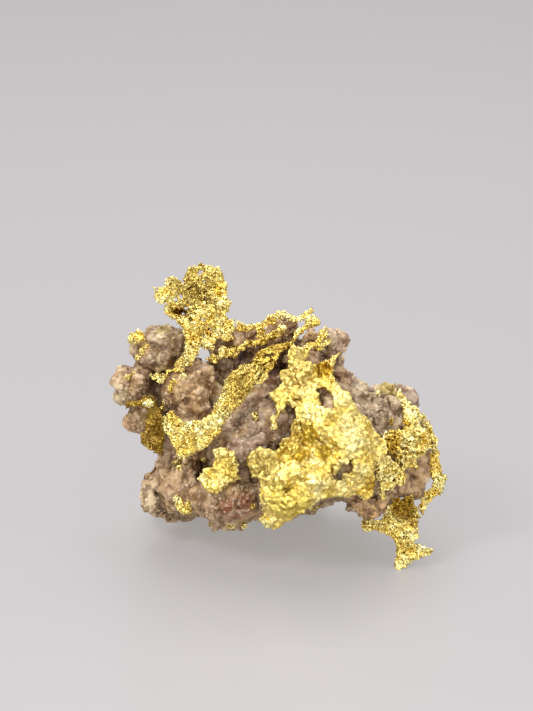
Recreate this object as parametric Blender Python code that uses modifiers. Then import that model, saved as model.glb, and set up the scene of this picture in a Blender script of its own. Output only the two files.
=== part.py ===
"""Leaf gold on drusy quartz: a specimen under 20 mm wide, resting on two feet of quartz and a tail of gold.

Everything is laid out in a sketch frame: across (+X, to the right), depth (+Y, away from the viewer) and
up (+Z), because that is how the specimen faces its viewer. Each piece is parented to one empty, the stance,
which leans it back until its three feet stand on the plane z = 0, with the origin under its middle.
"""

import math
import random

import bmesh
import bpy
from mathutils import Matrix, Vector, noise
from mathutils.bvhtree import BVHTree
from mathutils.geometry import delaunay_2d_cdt

MM = 0.001
MERGE = 1e-7  # points nearer than this are one

# Driving dimensions, in millimetres and degrees.
LEAN = 22.0  # how far the sketch frame leans back to stand
LEAF = 0.30  # thickness of a gold leaf
GAP = 0.10  # clearance between gold and quartz
WIDTH_LIMIT = 1000.0  # further off than any part of the specimen

# Colours and finishes: base colour, roughness, metallic.
QUARTZ_FINISH = ((0.36, 0.27, 0.22), 0.5, 0.0)
GOLD_FINISH = ((0.83, 0.62, 0.17), 0.32, 1.0)

# The quartz: how its fused nodules are turned into one rough body.
VOXEL = 0.20
LUMP_SIZE, LUMP_HEIGHT = 1.7, 0.30
GRAIN_SIZE, GRAIN_HEIGHT, GRAIN_LEVEL = 0.95, 0.55, 0.45
QUARTZ_TRIANGLES = 6000
CUTTER_VOXEL, CUTTER_TRIANGLES = 0.14, 12000

# The gold: the spacing of a leaf's facets, the teeth of its edge, how it drapes and how it is crumpled.
FACET, JITTER = 0.50, 0.12
TOOTH, TOOTH_SPACING = 0.12, 0.45
DRAPE_REACH, DRAPE_PASSES = 0.20, 6
CRUMPLE_SIZE, CRUMPLE_HEIGHT = 0.9, 0.20
FINE_CRUMPLE, FINE_SHARE = 2.3, 0.5  # a second crumpling, this much finer and this much lower
BEND_SOFTNESS = 0.05  # how gently a leaf bends at an anchor

# Nodules of quartz: across, up, depth, half width, half height, half depth, turn anticlockwise.
CORE = [
    (-1.0, 7.2, 3.2, 4.6, 3.9, 3.9, 0),
    (-2.0, 4.9, 5.2, 3.6, 2.1, 2.3, 0),
    (4.2, 6.8, 2.6, 3.5, 3.1, 3.2, 0),
    (-4.5, 5.0, 3.9, 2.3, 2.4, 2.6, 0),
    (-1.7, 10.6, 3.0, 2.3, 1.5, 1.9, 10),
    (2.2, 11.2, 2.5, 1.7, 1.7, 1.5, -20),
    (-0.3, 12.0, 2.5, 1.9, 1.1, 1.2, 15),
    (-3.3, 11.1, 2.3, 1.0, 0.45, 0.9, 5),
    (-4.75, 11.25, 1.7, 0.50, 0.55, 0.6, 0),
]
FEET = [
    (-5.4, 4.1, 5.9, 1.85, 1.9, 1.9, 0),
    (1.5, 4.6, 6.4, 1.5, 2.0, 1.9, 0),
    (-2.2, 4.5, 6.0, 3.2, 1.9, 1.9, 0),
    (3.9, 5.0, 4.6, 1.9, 1.6, 2.2, 0),
    (-0.8, 4.3, 4.2, 4.4, 1.8, 2.4, 0),
]
BACK = [
    (-3.4, 8.6, 5.6, 2.2, 2.0, 1.8, 20),
    (1.2, 8.7, 5.7, 2.4, 2.1, 1.8, -15),
    (4.3, 6.6, 4.9, 2.0, 2.0, 1.8, 0),
    (-1.0, 5.8, 6.5, 2.2, 1.8, 1.9, 0),
    (-5.3, 7.2, 4.4, 1.3, 1.6, 1.7, 0),
    (6.4, 5.6, 3.0, 1.5, 1.6, 1.5, 0),
]
FRONT = [
    (-2.6, 3.75, 0.2, 2.15, 1.6, 2.5, 4),
    (-1.5, 7.0, -0.2, 3.0, 1.45, 1.9, 46),
    (0.9, 4.6, -0.6, 2.1, 1.7, 2.3, 12),
    (3.6, 6.2, -0.4, 1.8, 2.2, 2.2, 30),
    (-0.7, 5.9, -0.8, 0.9, 0.9, 1.4, 0),
    (1.5, 6.6, -0.3, 1.4, 1.2, 1.4, 0),
    (3.1, 8.1, 0.0, 1.7, 2.6, 2.2, 25),
    (1.5, 10.5, 0.5, 0.95, 1.8, 1.4, -8),
    (-0.2, 3.7, -0.6, 1.1, 1.3, 1.5, 0),
    (4.5, 5.7, -0.1, 1.3, 1.8, 1.7, 0),
    (0.2, 9.2, 0.9, 1.2, 1.6, 1.3, 0),
    (0.35, 8.5, 0.0, 0.9, 0.9, 1.4, 30),
    (0.30, 8.0, -0.7, 0.75, 1.1, 1.3, 20),
]
LEFT = [
    (-6.5, 12.1, 1.2, 1.65, 1.50, 1.3, 20),
    (-8.05, 10.15, 1.5, 1.25, 1.15, 1.3, -10),
    (-8.55, 9.70, 1.6, 0.75, 0.80, 0.9, 0),
    (-7.55, 8.15, 1.8, 1.00, 1.00, 1.1, 0),
    (-4.90, 9.85, 0.9, 1.60, 1.60, 1.5, 30),
    (-6.6, 9.9, 2.7, 1.4, 2.2, 1.3, 10),
    (-4.7, 7.1, 0.9, 1.4, 1.4, 1.3, 40),
    (-6.05, 6.5, 2.0, 0.40, 1.2, 1.2, 0),
    (-5.5, 4.3, 1.5, 1.20, 1.7, 1.6, 10),
    (-5.1, 5.7, 1.3, 0.9, 0.8, 1.2, 0),
]
LEFT_RIM = [
    (-6.55, 5.2, 2.3, 0.42, 0.75, 1.0, -35),
    (-7.20, 4.3, 2.4, 0.50, 0.8, 1.0, 0),
    (-6.95, 3.4, 2.5, 0.75, 0.50, 1.0, -45),
    (-6.15, 2.85, 2.8, 0.80, 0.45, 1.0, -20),
]
TOP = [
    (-1.90, 12.80, 1.5, 1.00, 0.60, 0.9, 8),
    (-3.25, 12.45, 1.9, 0.60, 0.50, 0.6, 0),
    (-3.30, 11.80, 1.9, 0.50, 0.60, 0.7, 0),
    (0.25, 13.35, 1.7, 1.15, 0.55, 0.9, 22),
    (-0.40, 12.60, 1.0, 1.20, 0.42, 0.8, 24),
    (2.95, 12.45, 1.2, 0.80, 0.90, 0.9, 0),
    (2.15, 11.75, 0.9, 0.60, 0.34, 0.7, 8),
    (1.75, 12.85, 1.2, 0.60, 0.36, 0.7, 25),
    (0.65, 11.70, 0.7, 0.32, 0.62, 0.7, -15),
]
RIGHT = [
    (3.35, 10.35, 1.9, 0.8, 1.0, 1.3, 45),
    (4.40, 9.35, 1.6, 0.9, 0.9, 1.4, 0),
    (5.20, 9.40, 1.4, 0.70, 0.70, 1.0, 0),
    (5.65, 8.15, 0.6, 0.50, 1.00, 0.9, 8),
    (6.45, 8.70, 1.1, 0.62, 0.80, 1.0, 0),
    (6.25, 9.50, 1.5, 0.80, 0.30, 0.8, -35),
    (7.25, 9.20, 4.0, 0.85, 0.92, 1.0, 0),
    (6.20, 9.95, 2.0, 0.65, 0.45, 0.8, -10),
    (6.50, 8.10, 3.3, 1.2, 1.3, 1.3, 0),
    (7.25, 7.10, 1.0, 1.00, 1.50, 1.2, -10),
    (7.60, 5.10, 1.1, 0.80, 1.30, 1.1, 0),
    (8.05, 6.80, 1.6, 0.45, 1.50, 0.7, -5),
    (6.80, 4.55, 0.9, 0.95, 0.75, 1.0, 0),
    (6.20, 5.50, 0.6, 0.85, 1.0, 0.9, 0),
    (5.05, 3.50, 0.3, 1.10, 0.85, 1.1, -8),
    (5.75, 3.70, 0.3, 0.60, 0.70, 0.8, 0),
]


# Leaves of gold. The outline and the holes are (across, up); the anchors are (across, up, depth) and bend the
# leaf; the folds are (across, up, across, up, reach, rise) and raise a ridge towards the viewer or sink a valley.
# A draped leaf lies on the quartz; any other stands free and is only cut where the quartz is in its way.
LEAVES = [
    dict(
        name="gold_plume",
        outline=[
            (-6.9, 15.5), (-6.6, 15.7), (-6.15, 15.5), (-6.1, 16.1), (-5.6, 16.1), (-5.2, 15.75),
            (-5.1, 16.2), (-5.0, 16.6), (-4.6, 16.8), (-4.3, 16.9), (-4.0, 16.65), (-3.7, 16.6),
            (-3.2, 16.75), (-3.05, 16.3), (-2.85, 15.9), (-2.8, 15.4), (-2.75, 15.0), (-2.6, 14.75),
            (-2.7, 14.2), (-3.0, 14.1), (-2.85, 13.75), (-2.42, 13.8), (-2.42, 13.3), (-2.6, 13.0),
            (-2.5, 12.6), (-2.9, 12.5), (-3.3, 12.8), (-3.5, 12.5), (-3.55, 11.98), (-3.9, 12.1),
            (-4.2, 12.15), (-4.35, 11.8), (-4.85, 11.3), (-5.5, 10.8), (-6.2, 10.4), (-6.9, 10.35),
            (-7.6, 10.6), (-8.5, 10.4), (-8.5, 10.7), (-7.6, 10.95), (-6.9, 10.7), (-6.3, 10.8),
            (-5.75, 11.2), (-5.35, 11.7),
            (-5.15, 12.2), (-5.2, 12.8), (-5.3, 13.3), (-6.0, 13.8), (-6.2, 14.1), (-6.1, 14.4),
            (-6.2, 14.7), (-6.6, 14.6), (-6.85, 14.9),
        ],
        holes=[[(-4.65, 16.4), (-4.4, 16.2), (-4.15, 16.4), (-4.4, 16.6)]],
        anchors=[
            (-6.8, 15.3, 0.1), (-5.6, 15.9, 0.7), (-4.3, 16.6, 1.5), (-3.1, 16.4, 1.2),
            (-4.4, 15.0, 1.3), (-5.6, 14.2, 0.9), (-6.1, 13.9, 0.0), (-5.2, 13.3, -0.1),
            (-3.2, 14.6, 0.6), (-3.7, 13.0, 0.8), (-4.6, 13.2, 0.3), (-2.6, 13.2, 0.6),
            (-4.7, 12.4, 0.3), (-4.9, 11.5, 0.1), (-5.8, 11.0, 0.2), (-6.9, 10.6, 0.5), (-8.4, 10.5, 0.8),
        ],
        folds=[(-5.6, 14.2, -5.0, 14.2, 0.55, -0.5), (-4.2, 16.0, -3.6, 13.6, 0.5, 0.25)],
    ),
    dict(
        name="gold_top_ribbon",
        outline=[
            (-2.28, 13.65), (-2.1, 13.6), (-1.8, 13.45), (-1.2, 13.5), (-0.8, 13.65), (-0.3, 13.95),
            (0.2, 14.2), (0.8, 14.0), (1.2, 13.95), (1.6, 14.2), (1.9, 14.4), (1.95, 14.1),
            (1.6, 13.8), (1.1, 13.6), (0.6, 13.7), (0.2, 13.75), (-0.3, 13.5), (-0.75, 13.25),
            (-0.8, 12.9), (-1.15, 12.85), (-1.25, 13.15), (-1.8, 13.1), (-2.28, 13.15),
        ],
        anchors=[(-2.3, 13.4, 0.7), (-1.0, 13.3, 0.75), (0.2, 14.0, 0.95), (1.8, 14.1, 0.9)],
    ),
    dict(
        name="gold_diagonal_leaf",
        outline=[
            (-6.25, 7.8), (-6.05, 8.6), (-5.7, 8.5), (-5.2, 8.0), (-4.6, 8.05), (-4.0, 8.4), (-3.5, 8.9),
            (-3.0, 9.6), (-3.0, 10.0), (-2.7, 10.6), (-2.2, 11.0), (-1.4, 11.35), (-1.1, 11.95),
            (-0.5, 12.2), (0.2, 12.35), (0.8, 12.7), (1.0, 13.15), (1.55, 13.45), (1.7, 13.85),
            (2.0, 14.0), (2.35, 13.6), (1.9, 13.3), (1.3, 12.95), (1.0, 12.7), (0.5, 12.2), (0.2, 11.8),
            (-0.1, 11.4), (-0.5, 11.0), (-0.7, 10.5), (-1.3, 10.05), (-1.6, 9.55), (-2.0, 9.05),
            (-2.4, 8.65), (-3.0, 8.0), (-3.3, 7.4), (-3.7, 7.0), (-4.2, 6.6), (-4.9, 6.1), (-5.5, 6.1),
            (-5.75, 6.6), (-6.05, 7.2),
        ],
        holes=[[(-0.95, 11.55), (-0.55, 11.55), (-0.25, 11.8), (-0.7, 11.88)]],
        anchors=[
            (-5.6, 6.8, -0.6), (-4.2, 7.4, -1.4), (-5.6, 8.2, -0.4), (-3.0, 8.8, -1.5), (-2.0, 10.2, -1.2),
            (-0.8, 11.4, -0.8), (0.6, 12.4, -0.2), (2.0, 13.7, 0.4), (-3.2, 7.5, -1.9), (-1.2, 10.1, -1.5),
        ],
        folds=[(-3.6, 8.0, -0.8, 11.0, 0.4, 0.2), (-5.2, 7.6, -4.6, 6.5, 0.4, -0.3)],
    ),
    dict(
        name="gold_front_sheet",
        draped=True,
        outline=[
            (0.85, 12.5), (1.0, 12.2), (1.7, 12.0), (1.6, 11.4), (2.1, 11.2), (2.9, 11.5), (3.5, 11.9),
            (3.1, 11.2), (3.0, 10.3), (3.5, 9.9), (4.0, 9.4), (4.2, 9.0), (4.7, 8.4), (5.1, 8.1),
            (5.3, 7.6), (5.5, 7.2), (5.9, 7.1), (6.0, 6.6), (5.9, 6.1), (5.4, 5.9), (5.1, 5.5),
            (5.25, 5.1), (5.35, 4.5), (5.2, 4.05), (4.8, 3.9), (4.4, 4.1), (4.0, 4.0), (3.5, 4.1), (3.0, 4.0), (2.5, 3.9),
            (2.0, 3.6), (1.5, 3.3), (1.0, 3.0), (0.6, 2.7), (0.2, 2.4), (-0.2, 2.2), (-0.7, 2.5),
            (-1.0, 2.8), (-0.8, 3.2), (-0.9, 4.0), (-0.9, 4.8), (-1.1, 5.0), (-1.5, 5.0), (-1.6, 5.6),
            (-1.6, 6.1), (-1.3, 6.5), (-0.9, 6.65), (-0.3, 6.4), (0.4, 7.0), (0.8, 7.7), (1.0, 8.3),
            (1.0, 8.9), (0.6, 9.1), (0.2, 8.6), (-0.2, 7.85), (-0.4, 8.0), (0.0, 9.1), (-0.3, 9.3),
            (-0.4, 9.6), (0.0, 9.9), (0.3, 10.2), (0.15, 10.7), (0.4, 10.9), (0.7, 11.4), (0.7, 12.0),
        ],
        holes=[
            [(2.05, 9.85), (2.6, 10.0), (3.05, 9.5), (3.2, 8.75), (2.8, 8.7), (2.35, 8.95)],
            [
                (3.5, 5.95), (3.8, 5.85), (4.1, 6.05), (4.15, 5.55), (3.9, 5.3), (3.6, 5.35), (3.55, 4.95),
                (3.15, 4.8), (3.05, 5.1), (3.35, 5.35), (3.45, 5.65),
            ],
        ],
        anchors=[
            (1.0, 12.3, -0.4), (1.5, 10.5, -1.6), (2.0, 8.5, -2.5), (2.0, 5.5, -3.4), (4.5, 7.0, -2.4),
            (4.2, 4.6, -2.0), (0.0, 2.4, -1.8), (-1.3, 5.6, -2.6), (0.2, 9.4, -1.4), (3.3, 11.5, -0.2),
        ],
        folds=[
            (1.3, 8.0, 0.2, 5.9, 0.45, -0.5), (1.4, 6.8, 1.5, 6.8, 0.4, -0.4), (2.6, 6.6, 2.7, 6.6, 0.4, -0.4),
            (1.7, 5.2, 0.4, 4.3, 0.35, -0.4), (2.5, 10.8, 2.3, 11.0, 0.5, -0.4),
            (2.2, 4.8, 2.3, 4.8, 0.8, 0.35), (-0.8, 6.0, -0.7, 5.9, 0.6, 0.3), (3.6, 8.2, 4.8, 6.8, 0.5, 0.3),
            (2.2, 7.6, 3.2, 7.2, 0.5, 0.3), (1.2, 9.6, 1.0, 11.2, 0.4, 0.25), (0.2, 3.4, 3.4, 4.4, 0.4, 0.2),
        ],
    ),
    dict(
        name="gold_front_patch",
        draped=True,
        outline=[
            (-3.45, 6.5), (-2.9, 6.65), (-2.45, 6.4), (-2.3, 6.0), (-2.2, 5.6), (-2.15, 5.1), (-2.45, 4.85),
            (-2.9, 4.75), (-3.1, 4.5), (-3.5, 4.4), (-3.95, 4.35), (-4.1, 4.8), (-4.2, 5.2), (-3.8, 5.5),
            (-3.45, 5.6), (-3.4, 6.1),
        ],
        anchors=[(-3.0, 5.5, -2.2)],
    ),
    dict(
        name="gold_right_rim",
        outline=[
            (6.5, 9.75), (6.8, 9.8), (7.15, 9.35), (7.45, 8.95), (7.9, 8.75), (8.3, 8.3), (8.6, 7.6),
            (8.85, 7.1), (8.95, 6.3), (8.95, 5.6), (9.2, 5.2), (9.5, 4.8), (9.4, 4.35), (9.05, 3.95),
            (8.6, 3.8), (8.3, 3.35), (8.0, 3.0), (7.78, 3.25), (7.98, 3.7), (8.25, 4.2), (8.62, 4.45),
            (8.68, 4.9), (8.42, 5.2), (8.52, 6.2), (8.48, 7.0), (8.22, 7.6), (7.85, 8.3), (7.3, 8.7),
            (6.95, 9.1), (6.5, 9.45),
        ],
        anchors=[
            (6.6, 9.6, 0.8), (7.6, 8.6, 0.4), (8.4, 7.4, 0.6), (8.7, 5.6, 0.7), (9.1, 4.5, 0.9),
            (8.0, 3.2, 0.8),
        ],
    ),
    dict(
        name="gold_right_leaf",
        draped=True,
        outline=[
            (7.05, 8.8), (7.3, 9.1), (7.55, 8.85), (7.85, 8.4), (8.1, 7.9), (8.25, 7.3), (8.25, 6.7),
            (8.05, 6.3), (7.7, 6.25), (7.65, 5.7), (7.35, 5.35), (7.0, 5.6), (6.75, 6.0), (6.4, 6.3),
            (6.0, 6.4), (5.95, 7.0), (6.1, 7.45), (6.6, 7.6), (6.95, 7.9), (7.1, 8.3),
        ],
        anchors=[(7.3, 9.0, 0.0), (7.4, 8.2, -0.4), (7.8, 6.9, -0.5), (6.4, 7.0, -0.9), (7.3, 5.6, -0.7)],
        folds=[(6.8, 7.2, 7.2, 6.2, 0.4, 0.25)],
    ),
    dict(
        name="gold_right_tongue",
        draped=True,
        outline=[
            (5.6, 5.9), (6.0, 6.15), (6.35, 6.0), (6.7, 5.6), (6.9, 5.3), (7.1, 5.0), (7.15, 4.6), (6.7, 4.35),
            (6.3, 4.3), (6.1, 4.15), (5.85, 3.75), (5.65, 3.85), (5.75, 4.4), (5.65, 4.8), (5.5, 5.4),
        ],
        anchors=[(6.0, 5.6, -1.0), (6.8, 4.8, -0.9), (5.7, 4.0, -1.2)],
    ),
    dict(
        name="gold_tail",
        outline=[
            (4.7, 2.55), (4.75, 2.05), (5.5, 2.0), (5.9, 1.85), (6.35, 1.7), (6.45, 1.2), (6.5, 0.7),
            (6.45, 0.1), (6.6, -0.15), (7.05, -0.15), (7.2, 0.15), (7.6, 0.35), (8.0, 0.45), (8.4, 0.7),
            (8.65, 1.0), (8.0, 1.35), (7.6, 1.45), (7.8, 1.7), (7.75, 2.1), (7.75, 2.6), (7.75, 3.2),
            (7.6, 3.95), (7.0, 4.0), (6.5, 3.8), (6.1, 3.3), (5.9, 3.0), (5.5, 2.75), (5.0, 2.65),
        ],
        anchors=[
            (4.8, 2.3, 0.1), (6.0, 2.5, -0.2), (7.6, 2.6, -0.1), (7.0, 1.6, -0.1), (6.8, 0.0, 0.0),
            (8.4, 0.9, 0.2), (7.4, 3.4, 0.4), (7.2, 3.9, 0.7),
        ],
        folds=[(6.0, 2.3, 7.4, 2.2, 0.4, 0.25), (6.9, 0.9, 7.4, 1.1, 0.35, -0.2)],
    ),
    dict(
        name="gold_left_leaf",
        outline=[
            (-8.45, 9.1), (-7.9, 9.25), (-7.4, 9.5), (-6.9, 9.45), (-6.65, 9.05), (-6.4, 8.6),
            (-6.2, 8.0), (-6.15, 7.4), (-6.3, 6.9), (-6.45, 6.2), (-6.85, 6.35), (-7.15, 6.75),
            (-7.6, 7.0), (-7.7, 7.3), (-7.35, 7.6), (-7.35, 8.2), (-7.25, 8.7), (-7.65, 8.9),
            (-8.4, 8.8),
        ],
        anchors=[(-8.3, 9.0, 0.4), (-7.0, 9.2, 0.2), (-6.7, 8.0, 0.4), (-6.7, 6.5, 0.6), (-7.5, 7.3, 0.5)],
    ),
    dict(
        name="gold_left_flake",
        draped=True,
        outline=[(-8.2, 12.5), (-8.25, 13.0), (-7.9, 13.2), (-7.5, 13.1), (-7.5, 12.75), (-7.8, 12.45)],
        anchors=[(-7.9, 12.8, 0.4)],
    ),
    dict(
        name="gold_foot_flake",
        draped=True,
        outline=[
            (-5.7, 3.95), (-5.6, 3.35), (-5.3, 3.0), (-4.95, 2.95), (-4.75, 3.6), (-5.05, 3.7), (-5.2, 3.4),
            (-5.35, 3.95),
        ],
        anchors=[(-5.2, 3.4, -0.3)],
    ),
    dict(
        name="gold_slab_strand",
        draped=True,
        outline=[
            (-3.95, 11.5), (-3.8, 11.8), (-3.4, 11.75), (-3.05, 12.2), (-2.6, 12.1), (-2.2, 12.25), (-1.7, 12.6), (-1.2, 12.6),
            (-0.7, 12.8), (-0.2, 13.05), (0.35, 13.4), (0.6, 13.35), (0.4, 13.05), (-0.1, 12.75),
            (-0.6, 12.5), (-1.1, 12.3), (-1.6, 12.25), (-2.0, 11.95), (-2.4, 11.7), (-2.9, 11.7),
            (-3.3, 11.4), (-3.6, 11.35),
        ],
        anchors=[(-3.0, 11.9, 0.9), (-1.6, 12.4, 0.5), (0.3, 13.2, 0.4)],
    ),
    dict(
        name="gold_top_strand",
        draped=True,
        outline=[
            (1.6, 12.25), (2.05, 12.35), (2.2, 12.85), (2.5, 13.3), (2.85, 13.4), (2.75, 13.0), (2.5, 12.65),
            (2.95, 12.7), (2.95, 12.4), (2.4, 12.25), (1.8, 11.95),
        ],
        anchors=[(1.8, 12.1, 0.3), (2.4, 13.2, 0.4), (2.8, 12.5, 0.2)],
    ),
]


def in_sketch(across, up, depth):
    """A point of the sketch frame, given in millimetres, as a vector in metres."""
    return Vector((across, depth, up)) * MM


def new_collection(name):
    collection = bpy.data.collections.new(name)
    bpy.context.scene.collection.children.link(collection)
    return collection


def clear_scene():
    for obj in list(bpy.data.objects):
        bpy.data.objects.remove(obj)


def material(name, colour, roughness, metallic):
    """A Principled BSDF with one colour, roughness and metallic value."""
    made = bpy.data.materials.new(name)
    made.use_nodes = True
    shader = made.node_tree.nodes["Principled BSDF"]
    shader.inputs["Base Color"].default_value = (*colour, 1.0)
    shader.inputs["Roughness"].default_value = roughness
    shader.inputs["Metallic"].default_value = metallic
    return made


def object_of(name, bm, collection):
    """A new object in the collection that holds the bmesh, which is freed."""
    mesh = bpy.data.meshes.new(name)
    bm.to_mesh(mesh)
    bm.free()
    made = bpy.data.objects.new(name, mesh)
    collection.objects.link(made)
    return made


def settle(obj):
    """Puts the result of an object's modifiers into its mesh and removes them."""
    graph = bpy.context.evaluated_depsgraph_get()
    mesh = bpy.data.meshes.new_from_object(obj.evaluated_get(graph))
    obj.modifiers.clear()
    obj.data = mesh


def keep_largest_body(obj):
    """Deletes every loose chip that a cut left, so that one body is left."""
    bm = bmesh.new()
    bm.from_mesh(obj.data)
    unseen = set(bm.faces)
    bodies = []
    while unseen:
        edge_of_body = [unseen.pop()]
        body = list(edge_of_body)
        while edge_of_body:
            face = edge_of_body.pop()
            beside = {other for edge in face.edges for other in edge.link_faces} & unseen
            unseen -= beside
            edge_of_body += beside
            body += beside
        bodies.append(body)
    bodies.sort(key=len)
    for body in bodies[:-1]:
        bmesh.ops.delete(bm, geom=body, context="FACES")
    bm.to_mesh(obj.data)
    bm.free()


# Quartz


def add_nodule(bm, across, up, depth, half_width, half_height, half_depth, turn):
    place = (
        Matrix.Translation(in_sketch(across, up, depth))
        @ Matrix.Rotation(-math.radians(turn), 4, "Y")
        @ Matrix.Diagonal((*in_sketch(half_width, half_height, half_depth), 1))
    )
    bmesh.ops.create_icosphere(bm, subdivisions=3, radius=1, matrix=place)


def fuse(obj, voxel):
    """Melts overlapping shells into one closed skin."""
    remesh = obj.modifiers.new("fuse", "REMESH")
    remesh.mode = "VOXEL"
    remesh.voxel_size = voxel * MM
    settle(obj)


def roughen(obj):
    """Raises broad lumps and, on them, grains: each grain is a dome over one cell of a Voronoi pattern."""
    for vertex in obj.data.vertices:
        point = vertex.co / MM
        lump = noise.fractal(point / LUMP_SIZE, 1.0, 2.0, 3)
        nearest = noise.voronoi(point / GRAIN_SIZE)[0][0]
        height = LUMP_HEIGHT * lump + GRAIN_HEIGHT * (GRAIN_LEVEL - nearest)
        vertex.co += vertex.normal * height * MM


def thin_out(obj, triangles):
    """Decimates an object to about this many triangles."""
    obj.data.calc_loop_triangles()
    decimate = obj.modifiers.new("thin_out", "DECIMATE")
    decimate.ratio = triangles / len(obj.data.loop_triangles)
    settle(obj)


def cut_at_floor(obj):
    """Cuts the object off flat where it stands, on the plane that the stance makes horizontal."""
    lean = math.radians(LEAN)
    bm = bmesh.new()
    bm.from_mesh(obj.data)
    upward = Vector((0, -math.sin(lean), math.cos(lean)))
    cut = bmesh.ops.bisect_plane(
        bm,
        geom=bm.verts[:] + bm.edges[:] + bm.faces[:],
        dist=MERGE,
        plane_co=Vector((0, 0, 0)),
        plane_no=upward,
        clear_inner=True,
    )
    rim = [edge for edge in cut["geom_cut"] if isinstance(edge, bmesh.types.BMEdge)]
    bmesh.ops.holes_fill(bm, edges=rim)
    bmesh.ops.triangulate(bm, faces=bm.faces[:])
    bm.to_mesh(obj.data)
    bm.free()


def make_quartz(collection):
    bm = bmesh.new()
    for nodule in CORE + FEET + BACK + FRONT + LEFT + LEFT_RIM + TOP + RIGHT:
        add_nodule(bm, *nodule)
    quartz = object_of("quartz_matrix", bm, collection)
    fuse(quartz, VOXEL)
    roughen(quartz)
    fuse(quartz, VOXEL)
    thin_out(quartz, QUARTZ_TRIANGLES)
    cut_at_floor(quartz)
    keep_largest_body(quartz)
    quartz.data.materials.append(material("drusy_quartz", *QUARTZ_FINISH))
    return quartz


# Gold


def is_inside(polygon, x, y):
    inside = False
    for (x0, y0), (x1, y1) in zip(polygon, polygon[1:] + polygon[:1]):
        if (y0 > y) != (y1 > y) and x < x0 + (x1 - x0) * (y - y0) / (y1 - y0):
            inside = not inside
    return inside


def ragged(polygon, chance):
    """The polygon with its edges split to about the tooth spacing and every new point pulled in or out."""
    points = []
    for start, end in zip(polygon, polygon[1:] + polygon[:1]):
        start, end = Vector(start), Vector(end)
        along = end - start
        steps = max(1, round(along.length / TOOTH_SPACING))
        points.append(start)
        for step in range(1, steps):
            out = Vector((along.y, -along.x)).normalized()
            points.append(start + along * step / steps + out * chance.uniform(-TOOTH, TOOTH))
    return points


def scattered_inside(outline, holes, chance):
    """Jittered points at the facet spacing that keep clear of the outline and of the holes."""
    xs, ys = zip(*outline)
    row_height = FACET * math.sqrt(3) / 2
    points = []
    for row in range(int((max(ys) - min(ys)) / row_height) + 1):
        for column in range(int((max(xs) - min(xs)) / FACET) + 2):
            x = min(xs) + (column + row % 2 / 2) * FACET + chance.uniform(-JITTER, JITTER)
            y = min(ys) + row * row_height + chance.uniform(-JITTER, JITTER)
            if is_inside(outline, x, y) and not any(is_inside(hole, x, y) for hole in holes):
                points.append(Vector((x, y)))
    return points


def far_from(points, others, distance):
    return [p for p in points if all((p - other).length > distance for other in others)]


def flat_leaf(outline, holes, chance):
    """Triangulates the outline minus its holes: points and triangles."""
    rings = [ragged(ring, chance) for ring in [outline] + holes]
    points = [point for ring in rings for point in ring]
    edges = []
    for ring in rings:
        first = len(edges)
        edges += [(first + i, first + (i + 1) % len(ring)) for i in range(len(ring))]
    points += far_from(scattered_inside(outline, holes, chance), points, FACET / 2)
    corners, _, triangles, _, _, _ = delaunay_2d_cdt(points, edges, [], 1, 1e-6)
    kept = []
    for triangle in triangles:
        middle = sum((corners[i] for i in triangle), Vector((0, 0))) / 3
        if not any(is_inside([tuple(p) for p in ring], *middle) for ring in rings[1:]):
            kept.append(triangle)
    return corners, kept


def bent(anchors, x, y):
    """Depth of a leaf between its anchors: near an anchor it takes that anchor's depth."""
    total = weight_sum = 0.0
    for anchor_x, anchor_y, depth in anchors:
        weight = 1 / ((x - anchor_x) ** 2 + (y - anchor_y) ** 2 + BEND_SOFTNESS)
        total += weight * depth
        weight_sum += weight
    return total / weight_sum


def rise_of_folds(folds, x, y):
    """How far the folds of a leaf lift this point towards the viewer."""
    rise = 0.0
    for x0, y0, x1, y1, reach, height in folds:
        start, along = Vector((x0, y0)), Vector((x1 - x0, y1 - y0))
        at = max(0.0, min(1.0, (Vector((x, y)) - start).dot(along) / along.length_squared))
        away = (Vector((x, y)) - start - along * at).length / reach
        rise += height * max(0.0, 1 - away * away) ** 2
    return rise


def clear_depth(quartz_tree, x, y):
    """The greatest depth at which a leaf here stays clear of the quartz behind it, or None off its edge."""
    asides = [(0, 0)]
    for step in range(6):
        turn = step * math.tau / 6
        asides.append((DRAPE_REACH * math.cos(turn), DRAPE_REACH * math.sin(turn)))
    depths = []
    for aside_x, aside_y in asides:
        start = in_sketch(x + aside_x, y + aside_y, -WIDTH_LIMIT)
        hit = quartz_tree.ray_cast(start, Vector((0, 1, 0)))[0]
        if hit:
            depths.append(hit.y / MM)
    return min(depths) - GAP - LEAF / 2 if depths else None


def draped(depths, limits, triangles):
    """Pulls a leaf taut over the quartz, like a skin: smooth, but never deeper than its limits."""
    beside = [set() for _ in depths]
    for triangle in triangles:
        for i in triangle:
            beside[i] |= set(triangle) - {i}
    depths = [free if limit is None else limit for free, limit in zip(depths, limits)]
    for _ in range(DRAPE_PASSES):
        smooth = [
            sum(depths[j] for j in near) / len(near) if near else depths[i] for i, near in enumerate(beside)
        ]
        depths = [new if limit is None else min(new, limit) for new, limit in zip(smooth, limits)]
    return depths


def depths_of(leaf, corners, triangles, quartz_tree):
    """Bends, drapes and crumples a leaf: the depth of each corner."""
    depths = [bent(leaf["anchors"], *corner) for corner in corners]
    limits = [None] * len(corners)
    if leaf.get("draped"):
        limits = [clear_depth(quartz_tree, *corner) for corner in corners]
        depths = draped(depths, limits, triangles)
    for i, (x, y) in enumerate(corners):
        spot = Vector((x, y, 0)) / CRUMPLE_SIZE
        depths[i] -= CRUMPLE_HEIGHT * (1 + noise.noise(spot) + FINE_SHARE * noise.noise(spot * FINE_CRUMPLE))
        depths[i] -= rise_of_folds(leaf.get("folds", []), x, y)
        if limits[i] is not None:
            depths[i] = min(depths[i], limits[i])
    return depths


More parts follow.
